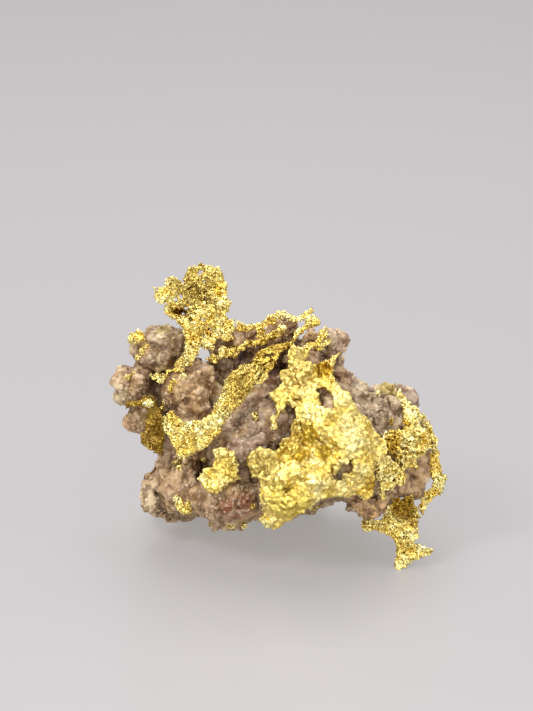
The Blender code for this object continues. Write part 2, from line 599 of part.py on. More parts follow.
def make_leaf(leaf, quartz_tree, cutter, collection):
    """One leaf: cut out flat, bent into shape, thickened, and cut back where the quartz is in its way."""
    chance = random.Random(leaf["name"])
    corners, triangles = flat_leaf(leaf["outline"], leaf.get("holes", []), chance)
    depths = depths_of(leaf, corners, triangles, quartz_tree)
    bm = bmesh.new()
    made = [bm.verts.new(in_sketch(x, y, depth)) for (x, y), depth in zip(corners, depths)]
    for triangle in triangles:
        bm.faces.new([made[i] for i in triangle])
    bmesh.ops.delete(bm, geom=[v for v in bm.verts if not v.link_faces], context="VERTS")
    obj = object_of(leaf["name"], bm, collection)
    solidify = obj.modifiers.new("thickness", "SOLIDIFY")
    solidify.thickness = LEAF * MM
    solidify.offset = 0
    settle(obj)
    cut = obj.modifiers.new("clear_of_quartz", "BOOLEAN")
    cut.operation = "DIFFERENCE"
    cut.solver = "EXACT"
    cut.object = cutter
    settle(obj)
    keep_largest_body(obj)
    cut_at_floor(obj)
    obj.data.materials.clear()
    obj.data.materials.append(material(leaf["name"], *GOLD_FINISH))
    return obj


def make_cutter(quartz, collection):
    """The quartz, swollen by the clearance, to cut the gold with."""
    swollen = quartz.copy()
    swollen.name = "quartz_clearance"
    swollen.data = quartz.data.copy()
    collection.objects.link(swollen)
    for vertex in swollen.data.vertices:
        vertex.co += vertex.normal * GAP * MM
    fuse(swollen, CUTTER_VOXEL)
    thin_out(swollen, CUTTER_TRIANGLES)
    swollen.hide_render = True
    swollen.display_type = "WIRE"
    return swollen


def tree_of(obj):
    bm = bmesh.new()
    bm.from_mesh(obj.data)
    tree = BVHTree.FromBMesh(bm)
    bm.free()
    return tree


def stand(pieces, collection):
    """Parents the pieces to an empty that leans them back and brings the middle of their base to the origin."""
    stance = bpy.data.objects.new("stance", None)
    stance.rotation_euler.x = -math.radians(LEAN)
    collection.objects.link(stance)
    corners = [stance.rotation_euler.to_matrix() @ v.co for piece in pieces for v in piece.data.vertices]
    for axis in (0, 1):
        values = [corner[axis] for corner in corners]
        stance.location[axis] = -(min(values) + max(values)) / 2
    for piece in pieces:
        piece.parent = stance


def main():
    clear_scene()
    parts = new_collection("leaf_gold_specimen")
    guides = new_collection("guides")
    quartz = make_quartz(parts)
    cutter = make_cutter(quartz, guides)
    tree = tree_of(quartz)
    gold = [make_leaf(leaf, tree, cutter, parts) for leaf in LEAVES]
    stand([quartz] + gold, parts)


main()
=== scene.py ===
# %% [markdown]
# # Leaf gold on drusy quartz
# This lesson dresses a specimen under 20 mm wide: a lump of brown quartz, covered in tiny crystals, with
# crumpled leaves of native gold grown over it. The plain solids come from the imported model. Everything
# below turns them into rough quartz and grainy gold, each in the place where its plain solid lies.

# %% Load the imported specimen
import math
import bmesh
import bpy
from mathutils import Matrix, Vector


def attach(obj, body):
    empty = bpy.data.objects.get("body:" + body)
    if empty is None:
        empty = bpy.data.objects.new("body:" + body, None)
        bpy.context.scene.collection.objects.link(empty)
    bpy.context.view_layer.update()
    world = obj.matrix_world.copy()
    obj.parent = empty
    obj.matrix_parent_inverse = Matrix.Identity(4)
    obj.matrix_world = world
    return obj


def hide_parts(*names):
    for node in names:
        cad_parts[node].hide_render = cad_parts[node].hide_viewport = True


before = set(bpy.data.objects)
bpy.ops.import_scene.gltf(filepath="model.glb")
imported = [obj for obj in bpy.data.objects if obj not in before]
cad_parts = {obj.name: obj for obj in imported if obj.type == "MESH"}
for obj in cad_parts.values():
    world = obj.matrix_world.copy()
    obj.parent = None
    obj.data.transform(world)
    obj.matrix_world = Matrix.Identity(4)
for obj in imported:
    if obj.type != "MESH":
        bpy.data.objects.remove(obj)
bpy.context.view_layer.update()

# %% [markdown]
# ## The viewer's frame
# The viewer looks down at the specimen by 22 degrees. So places on it are easiest to give as that viewer
# sees them: across to the right, up, and depth away from the viewer, all in millimetres from a point of
# the floor that lies 6.8 mm to the left of the gold tail's tip. One rotation and one shift turn them into
# the model's own coordinates.

# %% Places as the viewer sees them
MM = 0.001
VIEW_ANGLE = math.radians(22)
FLOOR_POINT = Vector((-0.080, -4.227, 0)) * MM
TAIL_TIP = (6.8, 0)
SEEN = Matrix.Translation(FLOOR_POINT) @ Matrix.Rotation(-VIEW_ANGLE, 4, "X")


def seen(across, up, depth=0.0):
    return SEEN @ (Vector((across, depth, up)) * MM)


print("The tail's tip is at", [round(v, 2) for v in seen(*TAIL_TIP) / MM], "mm")

# %% [markdown]
# ## Laying things on the surface
# Creases, cracks and flecks of gold are drawn as the viewer sees them, across and up. Their depth isn't
# known beforehand: it is found by looking along the line of sight until a plain solid is met.

# %% Where the line of sight meets the specimen
LOOKING = (seen(0, 0, 1) - seen(0, 0, 0)).normalized()
STEP_ALONG = 0.12
NEAR_THE_VIEWER = -50


def on_surface(across, up, nodes):
    """The first point of these nodes that the viewer meets at this place, or None beside them."""
    start = seen(across, up, NEAR_THE_VIEWER)
    hits = [bpy.data.objects[node].ray_cast(start, LOOKING) for node in nodes]
    points = [place for found, place, _, _ in hits if found]
    return min(points, key=lambda point: (point - start).length) if points else None


def laid_lines(name, lines, nodes):
    """An object of loose edges: each line laid on the nodes, with a point about every 0.12 mm."""
    bm = bmesh.new()
    for line in lines:
        last = None
        for (x0, y0), (x1, y1) in zip(line, line[1:]):
            steps = max(1, round(math.hypot(x1 - x0, y1 - y0) / STEP_ALONG))
            for step in range(steps + 1):
                part = step / steps
                point = on_surface(x0 + (x1 - x0) * part, y0 + (y1 - y0) * part, nodes)
                vertex = bm.verts.new(point) if point else None
                if last and vertex and (vertex.co - last.co).length > 1e-6:
                    bm.edges.new((last, vertex))
                last = vertex
    mesh = bpy.data.meshes.new(name)
    bm.to_mesh(mesh)
    bm.free()
    laid = bpy.data.objects.new(name, mesh)
    bpy.context.scene.collection.objects.link(laid)
    return laid


NODES = list(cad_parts)
GOLD_NODES = [node for node in NODES if node.startswith("gold_")]
print("The middle of the specimen lies at", [round(v, 2) for v in on_surface(0, 8, NODES) / MM], "mm")

# %% [markdown]
# ## The camera
# A close-up from 200 mm away, level with the viewer's frame. A long lens at this distance keeps near and
# far leaves at almost the same scale.

# %% Camera
VIEW_DISTANCE = 200 * MM
VIEW_HEIGHT = 39.5 * MM
VIEW_CENTRE = (-0.61, 11.75)
SENSOR = 36.0

camera = bpy.data.objects.new("camera", bpy.data.cameras.new("camera"))
bpy.context.scene.collection.objects.link(camera)
camera.data.sensor_fit = "VERTICAL"
camera.data.sensor_height = SENSOR
camera.data.lens = SENSOR * VIEW_DISTANCE / VIEW_HEIGHT
camera.data.clip_start = 1 * MM
camera.matrix_world = (
    SEEN
    @ Matrix.Translation(Vector((VIEW_CENTRE[0] * MM, -VIEW_DISTANCE, VIEW_CENTRE[1] * MM)))
    @ Matrix.Rotation(math.radians(90), 4, "X")
)
bpy.context.scene.camera = camera
print("Lens", round(camera.data.lens, 1), "mm")

# %% [markdown]
# ## Node trees that read like formulas
# Both the shapes and the finishes below are node trees. A small class holds one socket and lets Python's
# operators add the Math nodes, so that `1 - mask` is a formula and not five lines of wiring. The function
# `add` makes any other node from its settings and the values or links of its sockets.

# %% Wires and nodes
class Wire:
    """An output socket that Python's operators can do sums with."""

    def __init__(self, tree, socket):
        self.tree, self.socket = tree, socket

    def _math(self, operation, *values):
        return add(self.tree, "ShaderNodeMath", *values, operation=operation)

    def __add__(self, other):
        return self._math("ADD", self, other)

    def __radd__(self, other):
        return self._math("ADD", other, self)

    def __sub__(self, other):
        return self._math("SUBTRACT", self, other)

    def __rsub__(self, other):
        return self._math("SUBTRACT", other, self)

    def __mul__(self, other):
        return self._math("MULTIPLY", self, other)

    def __rmul__(self, other):
        return self._math("MULTIPLY", other, self)

    def __truediv__(self, other):
        return self._math("DIVIDE", self, other)

    def __rtruediv__(self, other):
        return self._math("DIVIDE", other, self)

    def at_least(self, other):
        return self._math("MAXIMUM", self, other)

    def at_most(self, other):
        return self._math("MINIMUM", self, other)

    def size(self):
        return self._math("ABSOLUTE", self)

    def power(self, exponent):
        return self._math("POWER", self, exponent)

    def clamped(self):
        return add(self.tree, "ShaderNodeClamp", self)

    def from_to(self, low, high, new_low=0.0, new_high=1.0):
        """Maps a range to another, smoothly, and holds the ends."""
        return add(self.tree, "ShaderNodeMapRange", self, low, high, new_low, new_high,
                   interpolation_type="SMOOTHSTEP")


def plug(tree, socket, value):
    if isinstance(value, Wire):
        tree.links.new(value.socket, socket)
    elif value is not None:
        socket.default_value = value


def add(tree, kind, *values, take=0, named=None, **settings):
    """Adds a node and returns one output: values fill its sockets in order, named fills them by name."""
    node = tree.nodes.new(kind)
    for name, value in settings.items():
        setattr(node, name, value)
    open_sockets = [socket for socket in node.inputs if socket.enabled]
    for socket, value in zip(open_sockets, values):
        plug(tree, socket, value)
    for name, value in (named or {}).items():
        plug(tree, next(s for s in open_sockets if s.name == name), value)
    outputs = [socket for socket in node.outputs if socket.enabled]
    chosen = outputs[take] if isinstance(take, int) else next(s for s in outputs if s.name == take)
    return Wire(tree, chosen)


def vector_math(tree, operation, *values, take=0):
    return add(tree, "ShaderNodeVectorMath", *values, operation=operation, take=take)


def scaled(tree, vector, factor):
    return add(tree, "ShaderNodeVectorMath", operation="SCALE", named={"Vector": vector, "Scale": factor})


print("Node helpers ready")

# %% [markdown]
# ## One way to make both stone and metal rough
# Real leaf gold is a felt of tiny grains with ragged, lacy edges, and the quartz is blocky and cracked.
# Displacing a surface can't tear holes in it. So each plain solid becomes a distance field: for every
# point of a fine grid, how far it lies from the solid's skin, negative inside. Grains push the skin
# outwards, lace and cracks push it inwards, and a new skin is drawn where the distance equals that push.

# %% A node group with named inputs
def new_shape_tree(name, sizes):
    """An empty Geometry Nodes group: geometry and named sizes in, geometry out. None means an object."""
    group = bpy.data.node_groups.new(name, "GeometryNodeTree")
    group.interface.new_socket("Geometry", in_out="INPUT", socket_type="NodeSocketGeometry")
    for label, value in sizes.items():
        kind = "NodeSocketInt" if isinstance(value, int) else "NodeSocketFloat"
        if value is None:
            group.interface.new_socket(label, in_out="INPUT", socket_type="NodeSocketObject")
        else:
            group.interface.new_socket(label, in_out="INPUT", socket_type=kind).default_value = value
    group.interface.new_socket("Finish", in_out="INPUT", socket_type="NodeSocketMaterial")
    group.interface.new_socket("Geometry", in_out="OUTPUT", socket_type="NodeSocketGeometry")
    inlet = group.nodes.new("NodeGroupInput")
    return group, {socket.name: Wire(group, socket) for socket in inlet.outputs if socket.name}


def close_tree(group, geometry, finish):
    """Ends a tree as the export needs it: real instances, one material."""
    real = add(group, "GeometryNodeRealizeInstances", geometry)
    dressed = add(group, "GeometryNodeSetMaterial", real, None, finish)
    outlet = group.nodes.new("NodeGroupOutput")
    group.links.new(dressed.socket, outlet.inputs[0])


def merged_copy(node):
    """A CAD node's mesh with its loose triangles joined up."""
    mesh = bpy.data.objects[node].data.copy()
    bm = bmesh.new()
    bm.from_mesh(mesh)
    bmesh.ops.remove_doubles(bm, verts=bm.verts, dist=1e-7)
    bm.to_mesh(mesh)
    bm.free()
    return mesh


def grow(name, mesh, group, finish, **sizes):
    """Runs a mesh through a tree and keeps the result as a plain mesh in a new object."""
    piece = bpy.data.objects.new(name, mesh)
    bpy.context.scene.collection.objects.link(piece)
    nodes = piece.modifiers.new("shape", "NODES")
    nodes.node_group = group
    for item in group.interface.items_tree:
        if item.item_type == "SOCKET" and item.in_out == "INPUT":
            label = item.name.replace(" ", "_").lower()
            if label in sizes:
                nodes[item.identifier] = sizes[label]
            elif item.name == "Finish":
                nodes[item.identifier] = finish
    graph = bpy.context.evaluated_depsgraph_get()
    baked = bpy.data.meshes.new_from_object(piece.evaluated_get(graph))
    piece.modifiers.clear()
    piece.data = baked
    baked.name = name
    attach(piece, "root")
    print(f"{name}: {sum(len(p.vertices) - 2 for p in baked.polygons)} triangles")
    return piece


print("Tree helpers ready")

# %% The tree that regrows a solid
SKIN_MARGIN = 0.45 * MM
FADE_CELLS = 3.0
SMALLEST_CRUMB = 400
SLANTED = (0.23, 0.31, 0.92)
FAR_OFF = 100 * MM


def distance_to_skin(tree, skin, place):
    """Distance to the closed skin, negative inside it, where a ray meets the skin from behind."""
    distance = add(tree, "GeometryNodeProximity", skin, target_element="FACES",
                   named={"Sample Position": place}, take="Distance")
    met = add(tree, "GeometryNodeRaycast", skin, take="Hit Normal",
              named={"Source Position": place, "Ray Direction": SLANTED, "Ray Length": FAR_OFF})
    along = vector_math(tree, "DOT_PRODUCT", met, SLANTED, take="Value")
    from_behind = add(tree, "ShaderNodeMath", along, 0.0, operation="GREATER_THAN")
    return distance * (1.0 - from_behind * 2.0)


def cells(tree, place, size, take="Distance"):
    """A Voronoi pattern of cells of this size."""
    return add(tree, "ShaderNodeTexVoronoi", take=take,
               named={"Vector": place, "Scale": 1.0 / size})


def clouds(tree, place, size, detail=2.0, shift=(0, 0, 0)):
    """Noise from 0 to 1 with blots of about this size."""
    moved = vector_math(tree, "ADD", place, shift)
    return add(tree, "ShaderNodeTexNoise", named={"Vector": moved, "Scale": 1.0 / size, "Detail": detail})


def worm_pattern(tree, place, size):
    """Ridges that wander like worms this far apart: 1 along each ridge, 0 in the pits between."""
    cloud = clouds(tree, place, size, 1.0, (5, 7, 9))
    return (1.0 - (cloud - 0.5).size() * 7.0).at_least(0.0)


def beads(tree, place, size):
    """Round beads of about this size: 1 on top of each, 0 in the creases between."""
    return (1.0 - (cells(tree, place, size) * 1.5).power(2.0)).at_least(0.0)


def facets(tree, place, size):
    """Flat faces of about this size, each tipped its own way: how far each stands out, in metres."""
    lean = vector_math(tree, "SUBTRACT", cells(tree, place, size, take="Color"), (0.5, 0.5, 0.5))
    from_middle = vector_math(tree, "SUBTRACT", place, cells(tree, place, size, take="Position"))
    return vector_math(tree, "DOT_PRODUCT", from_middle, lean, take="Value")


def creased(tree, lines, place, width):
    """How deep in a crease a place is: 1 on a line of the given object, 0 at this width from it."""
    drawn = add(tree, "GeometryNodeObjectInfo", lines, take="Geometry")
    away = add(tree, "GeometryNodeProximity", drawn, target_element="EDGES",
               named={"Sample Position": place}, take="Distance")
    return (1.0 - away / width).at_least(0.0)


def closed_in(tree, skin, reach):
    """How closed in a place of the skin is: 0 in the open, 1 where walls meet this far above it."""
    normal = add(tree, "GeometryNodeInputNormal")
    lifted = scaled(tree, normal, reach)
    above = vector_math(tree, "ADD", add(tree, "GeometryNodeInputPosition"), lifted)
    room = add(tree, "GeometryNodeProximity", skin, target_element="FACES",
               named={"Sample Position": above}, take="Distance")
    return 1.0 - room / reach


def noted(tree, mesh, name, value):
    """Keeps a number on every point of the mesh, for the finish to read."""
    return add(tree, "GeometryNodeStoreNamedAttribute", data_type="FLOAT", domain="POINT",
               named={"Geometry": mesh, "Name": name, "Value": value})


def shaken(tree, place, size, reach, shift=(0, 0, 0)):
    """Moves a place by up to about this reach, in blots of about this size, to crumple what is drawn."""
    moved = vector_math(tree, "ADD", place, shift)
    push = add(tree, "ShaderNodeTexNoise", take="Color",
               named={"Vector": moved, "Scale": 1.0 / size, "Detail": 2.0})
    push = vector_math(tree, "SUBTRACT", push, (0.5, 0.5, 0.5))
    push = scaled(tree, push, reach * 3.0)
    return vector_math(tree, "ADD", place, push)


def regrown(tree, skin, cell, growth, crumpled, thinning):
    """Draws a new skin where the distance from the crumpled place to the old skin equals the growth."""
    low = add(tree, "GeometryNodeBoundBox", skin, take="Min")
    high = add(tree, "GeometryNodeBoundBox", skin, take="Max")
    low = vector_math(tree, "SUBTRACT", low, (SKIN_MARGIN,) * 3)
    high = vector_math(tree, "ADD", high, (SKIN_MARGIN,) * 3)
    span = vector_math(tree, "SUBTRACT", high, low)
    counts = [add(tree, "ShaderNodeSeparateXYZ", span, take=axis) / cell for axis in "XYZ"]
    inside = growth - distance_to_skin(tree, skin, crumpled)
    density = (inside / (cell * FADE_CELLS) + 0.5).clamped()
    fog = add(tree, "GeometryNodeVolumeCube", density, 0.0, low, high, *counts)
    return add(tree, "GeometryNodeVolumeToMesh", fog, resolution_mode="GRID",
               named={"Threshold": 0.5, "Adaptivity": thinning})


def without_crumbs(tree, mesh):
    """Drops every loose crumb that has few faces."""
    island = add(tree, "GeometryNodeInputMeshIsland", take="Island Index")
    faces = add(tree, "GeometryNodeAccumulateField", 1, island, data_type="INT", domain="FACE",
                take="Total")
    few = add(tree, "FunctionNodeCompare", faces, SMALLEST_CRUMB, data_type="INT", operation="LESS_THAN")
    return add(tree, "GeometryNodeDeleteGeometry", mesh, few, domain="FACE")


def above_floor(tree, mesh):
    """Presses anything that would hang below the floor flat onto it."""
    place = add(tree, "GeometryNodeInputPosition")
    x, y, z = (add(tree, "ShaderNodeSeparateXYZ", place, take=axis) for axis in "XYZ")
    pressed = add(tree, "ShaderNodeCombineXYZ", x, y, z.at_least(0.0))
    return add(tree, "GeometryNodeSetPosition", mesh, named={"Position": pressed})


print("Skin helpers ready")

# %% [markdown]
# ## Creases
# The gold sheets are torn and folded, and the quartz is cracked between its nodules. The long creases and
# cracks are drawn one by one, and the trees sink a groove along each. Two short ridges are raised on the
# quartz in the same way.

# %% Creases in the gold, cracks and ridges in the quartz
GOLD_CREASES = [
    [(5.15, 5.4), (5.45, 5.95), (6.1, 6.3), (6.5, 6.5), (6.95, 6.6), (7.35, 6.45), (7.95, 6.2)],
    [(0.3, 4.1), (0.6, 4.5), (0.95, 4.8), (1.4, 5.0)],
    [(0.1, 5.95), (0.5, 6.0), (0.9, 6.25)],
    [(1.15, 6.0), (1.2, 5.8), (1.5, 5.65)],
    [(1.3, 8.0), (1.35, 7.4), (1.2, 7.1)],
    [(1.3, 6.9), (1.4, 6.6), (1.25, 6.5)],
    [(2.1, 7.2), (2.45, 6.9), (2.65, 6.5), (2.6, 6.1)],
    [(2.95, 5.6), (3.0, 5.3), (3.1, 5.05)],
    [(0.8, 9.25), (1.2, 9.35), (1.35, 9.15)],
    [(2.25, 11.2), (2.35, 10.6), (2.3, 10.1)],
    [(2.75, 11.3), (2.7, 10.7), (2.85, 10.2)],
    [(6.9, 7.3), (7.2, 7.0), (7.1, 6.7)],
    [(7.7, 7.6), (7.9, 7.2), (7.75, 6.8)],
    [(-4.1, 14.9), (-3.6, 14.8), (-3.35, 14.3)],
    [(-5.0, 14.9), (-4.9, 14.2), (-4.8, 13.4)],
    [(-5.0, 15.4), (-4.6, 15.7), (-4.3, 15.2)],
    [(-2.0, 9.9), (-1.2, 10.9)],
    [(-2.8, 10.5), (-1.8, 11.1), (-0.9, 11.8), (-0.2, 12.3), (0.5, 12.6)],
    [(-3.2, 9.6), (-2.5, 10.1), (-1.7, 10.7), (-1.1, 11.4)],
    [(-2.5, 9.3), (-1.9, 10.1), (-0.9, 11.1), (-0.3, 11.5)],
    [(-1.6, 9.9), (-1.1, 10.4), (-0.7, 11.0)],
]
STONE_CRACKS = [
    [(-4.35, 6.3), (-4.1, 5.3), (-4.4, 4.5), (-4.8, 3.9), (-4.7, 3.2), (-4.3, 2.6)],
    [(-6.7, 5.4), (-6.6, 4.6), (-6.9, 4.2), (-6.5, 3.6), (-5.9, 3.0), (-5.6, 2.5)],
    [(-5.9, 6.6), (-5.95, 5.6), (-6.3, 5.0)],
    [(-7.0, 12.4), (-6.6, 12.1), (-6.2, 12.2)],
    [(-5.3, 11.0), (-4.9, 10.4), (-4.2, 10.2), (-3.6, 10.4)],
    [(-5.9, 10.3), (-5.9, 9.4), (-5.4, 8.8)],
    [(-8.3, 11.1), (-8.2, 10.4), (-8.5, 9.8), (-8.1, 9.3)],
    [(-1.1, 12.1), (-0.2, 12.5), (0.6, 13.1), (0.9, 13.3)],
    [(-1.9, 13.1), (-1.7, 12.7), (-1.2, 12.6)],
    [(-2.6, 5.0), (-1.5, 4.9), (-1.0, 4.2), (-1.2, 3.1)],
    [(-3.5, 4.5), (-3.0, 4.0), (-3.2, 3.1)],
    [(6.1, 9.4), (6.15, 8.6), (6.1, 7.7)],
    [(5.3, 9.4), (5.25, 8.6), (5.35, 7.9)],
    [(4.1, 4.0), (4.9, 4.1), (5.5, 3.9), (5.6, 3.1)],
    [(7.2, 5.3), (7.6, 4.9), (7.5, 4.4), (8.1, 4.2)],
    [(2.4, 12.9), (2.7, 12.4), (2.6, 12.0)],
    [(0.3, 12.3), (0.35, 11.6), (0.5, 11.1)],
]

STONE_RIDGES = [
    [(8.2, 6.8), (8.2, 6.2), (8.15, 5.6), (8.1, 5.2)],
    [(-3.2, 12.4), (-2.8, 12.35), (-2.4, 12.5)],
]

gold_creases = laid_lines("gold creases", GOLD_CREASES, GOLD_NODES)
stone_cracks = laid_lines("stone cracks", STONE_CRACKS, ["quartz_matrix"])
stone_ridges = laid_lines("stone ridges", STONE_RIDGES, ["quartz_matrix"])
print("Drawn", len(GOLD_CREASES), "creases,", len(STONE_CRACKS), "cracks and", len(STONE_RIDGES), "ridges")

# %% Flecks of gold
FLECK_HALF_DEPTH = 0.16 * MM
FLECKS = [
    # across, up, half width, half height
    (-7.75, 11.6, 0.12, 0.14), (-7.55, 11.95, 0.10, 0.18), (-7.3, 12.25, 0.14, 0.10),
    (-7.2, 9.1, 0.28, 0.20), (-6.45, 8.8, 0.14, 0.20), (-6.3, 9.1, 0.10, 0.12),
    (-5.95, 9.9, 0.10, 0.20), (-5.75, 10.3, 0.14, 0.10), (-5.2, 10.65, 0.16, 0.08),
    (-5.65, 5.8, 0.20, 0.14), (-5.45, 5.45, 0.16, 0.14), (-4.15, 6.0, 0.12, 0.08),
    (-3.7, 2.45, 0.08, 0.24), (-2.6, 2.3, 0.24, 0.10), (-1.9, 2.35, 0.20, 0.12),
    (-0.2, 7.85, 0.15, 0.14), (-1.25, 8.4, 0.12, 0.14), (-1.4, 3.5, 0.09, 0.09),
    (1.8, 3.35, 0.22, 0.08), (2.2, 3.3, 0.12, 0.14), (3.0, 3.85, 0.22, 0.08),
    (5.6, 9.65, 0.07, 0.12), (6.35, 8.0, 0.10, 0.24), (4.6, 4.15, 0.16, 0.12), (2.3, 12.1, 0.30, 0.08),
]


def fleck_places():
    """The middle, half width and half height of every fleck that meets the quartz or a leaf."""
    places = [(on_surface(across, up, NODES), half_width, half_height)
              for across, up, half_width, half_height in FLECKS]
    return [place for place in places if place[0]]


def fleck_mesh(places):
    """Small flattened blobs of gold, each half sunk where it meets the surface."""
    bm = bmesh.new()
    for middle, half_width, half_height in places:
        size = Matrix.Diagonal((half_width * MM, FLECK_HALF_DEPTH, half_height * MM, 1))
        bmesh.ops.create_icosphere(bm, subdivisions=4, radius=1, matrix=Matrix.Translation(middle) @ size)
    mesh = bpy.data.meshes.new("flecks")
    bm.to_mesh(mesh)
    bm.free()
    return mesh


places_met = fleck_places()
gold_flecks = fleck_mesh(places_met)
print("Placed", len(places_met), "of", len(FLECKS), "flecks of gold")

# %% Gold tree
LEAF_SIZES = {
    "Creases": None,
    "Crease Width": 0.16 * MM,
    "Crease Depth": 0.10 * MM,
    "Cell": 0.045 * MM,
    "Bead": 0.24 * MM,
    "Bead Height": 0.07 * MM,
    "Worm": 0.15 * MM,
    "Worm Height": 0.11 * MM,
    "Lace Size": 0.40 * MM,
    "Lace Level": 0.62,
    "Lace Depth": 3.0 * MM,
    "Swell": -0.02 * MM,
    "Lump Size": 0.60 * MM,
    "Lump Height": 0.03 * MM,
    "Fold Size": 0.9 * MM,
    "Fold Reach": 0.20 * MM,
    "Ragged": 0.08 * MM,
}
CREASE_WANDER = (0.3 * MM, 0.08 * MM)
RAGGED_SIZE = 0.3 * MM


def gold_leaf_tree():
    tree, inlet = new_shape_tree("leaf of gold", LEAF_SIZES)
    place = add(tree, "GeometryNodeInputPosition")
    relief = beads(tree, place, inlet["Bead"]) * inlet["Bead Height"]
    relief = relief + worm_pattern(tree, place, inlet["Worm"]) * inlet["Worm Height"]
    relief_height = inlet["Bead Height"] + inlet["Worm Height"]
    lace = (clouds(tree, place, inlet["Lace Size"], 2.0) - inlet["Lace Level"]).at_least(0.0)
    crease = creased(tree, inlet["Creases"], shaken(tree, place, *CREASE_WANDER), inlet["Crease Width"])
    lumps = clouds(tree, place, inlet["Lump Size"], 1.0, (4, 4, 1)).from_to(0.38, 0.68)
    lumps = lumps * inlet["Lump Height"]
    growth = relief - relief_height * 0.5 + inlet["Swell"] + lumps
    growth = growth - lace * inlet["Lace Depth"] - crease * inlet["Crease Depth"]
    folded = shaken(tree, place, inlet["Fold Size"], inlet["Fold Reach"])
    folded = shaken(tree, folded, RAGGED_SIZE, inlet["Ragged"], (1, 2, 3))
    skin = regrown(tree, inlet["Geometry"], inlet["Cell"], growth, folded, 0.0)
    skin = above_floor(tree, without_crumbs(tree, skin))
    skin = noted(tree, skin, "raised", relief / relief_height)
    skin = noted(tree, skin, "crease", crease)
    close_tree(tree, skin, inlet["Finish"])
    return tree


GOLD_TREE = gold_leaf_tree()
print("Gold tree ready")

# %% Fleck tree
FLECK_SIZES = {"Worm": 0.15 * MM, "Worm Height": 0.07 * MM, "Ragged": 0.10 * MM}


def fleck_tree():
    """Crumples small blobs: every point is shaken, and pushed out where a worm runs."""
    tree, inlet = new_shape_tree("flecks of gold", FLECK_SIZES)
    place = add(tree, "GeometryNodeInputPosition")
    worms = worm_pattern(tree, place, inlet["Worm"])
    normal = add(tree, "GeometryNodeInputNormal")
    push = scaled(tree, normal, worms * inlet["Worm Height"])
    moved = vector_math(tree, "ADD", shaken(tree, place, RAGGED_SIZE, inlet["Ragged"]), push)
    skin = noted(tree, inlet["Geometry"], "raised", worms)
    skin = add(tree, "GeometryNodeSetPosition", skin, named={"Position": moved})
    close_tree(tree, skin, inlet["Finish"])
    return tree


FLECK_TREE = fleck_tree()
print("Fleck tree ready")

# %% [markdown]
# ## The quartz
# The lump is many nodules with blocky, broken faces. Flat faces of two sizes, each tipped its own way,
# and a low dome under each large one are added to its distance field. Cracks are cut in and two ridges
# raised.

# %% Quartz tree
STONE_SIZES = {
    "Cracks": None,
    "Ridges": None,
    "Ridge Width": 0.60 * MM,
    "Ridge Height": 0.70 * MM,
    "Crack Width": 0.20 * MM,
    "Crack Depth": 0.20 * MM,
    "Cell": 0.11 * MM,
    "Thinning": 0.12,
    "Block": 0.90 * MM,
    "Block Tilt": 0.45,
    "Facet": 0.42 * MM,
    "Facet Tilt": 0.50,
    "Dome Height": 0.10 * MM,
    "Crumple": 0.10 * MM,
}
CRACK_WANDER = (0.4 * MM, 0.12 * MM)
CRUMPLE_SIZE = 0.7 * MM
RELIEF_OF_STONE = 0.12 * MM
CREVICE_REACH = 0.7 * MM


def stone_tree():
    tree, inlet = new_shape_tree("quartz crust", STONE_SIZES)
    place = add(tree, "GeometryNodeInputPosition")
    relief = facets(tree, place, inlet["Block"]) * inlet["Block Tilt"]
    relief = relief + facets(tree, place, inlet["Facet"]) * inlet["Facet Tilt"]
    relief = relief + (0.5 - cells(tree, place, inlet["Block"])) * inlet["Dome Height"]
    crack = creased(tree, inlet["Cracks"], shaken(tree, place, *CRACK_WANDER), inlet["Crack Width"])
    ridge = creased(tree, inlet["Ridges"], place, inlet["Ridge Width"])
    growth = relief - crack * inlet["Crack Depth"] + ridge * inlet["Ridge Height"]
    crumpled = shaken(tree, place, CRUMPLE_SIZE, inlet["Crumple"])
    skin = regrown(tree, inlet["Geometry"], inlet["Cell"], growth, crumpled, inlet["Thinning"])
    skin = above_floor(tree, without_crumbs(tree, skin))
    skin = noted(tree, skin, "raised", relief / RELIEF_OF_STONE * 0.5 + 0.5)
    skin = noted(tree, skin, "crease", crack)
    skin = noted(tree, skin, "closed in", closed_in(tree, skin, CREVICE_REACH))
    close_tree(tree, skin, inlet["Finish"])
    return tree


STONE_TREE = stone_tree()
print("Quartz tree ready")

# %% [markdown]
# ## The druse
# A druse is a crust of small quartz points. One crystal is a six-sided cone of two segments whose middle
# ring is pushed out, which makes a prism with a pointed cap in 22 triangles. About three thousand of them
# lie in patches on the regrown quartz, each sunk in and leaning its own way, but none close to gold or to
# the floor.

# %% Crystal tree
DRUSE_SIZES = {
    "Gold": None,
    "Spacing": 0.26 * MM,
    "Smallest": 0.07 * MM,
    "Largest": 0.20 * MM,
    "Lean": 0.9,
    "Patches": 1.5 * MM,
    "Patch Level": 0.50,
    "Clear Of Gold": 0.35 * MM,
    "Seed": 11,
}
CRYSTAL_LENGTH = 2.2
SHOULDER_LIFT = 0.25
CRYSTAL_SINK = CRYSTAL_LENGTH / 2 + SHOULDER_LIFT
FULL_TURN = 6.28
FLOOR_CLEARANCE = 0.35 * MM
MOST_CRYSTALS = 1.0 / (0.1 * MM) ** 2


def random_value(tree, low, high, seed):
    return add(tree, "FunctionNodeRandomValue", named={"Min": low, "Max": high, "Seed": seed}, take="Value")


def random_vector(tree, low, high, seed):
    return add(tree, "FunctionNodeRandomValue", data_type="FLOAT_VECTOR",
               named={"Min": (low,) * 3, "Max": (high,) * 3, "Seed": seed}, take="Value")


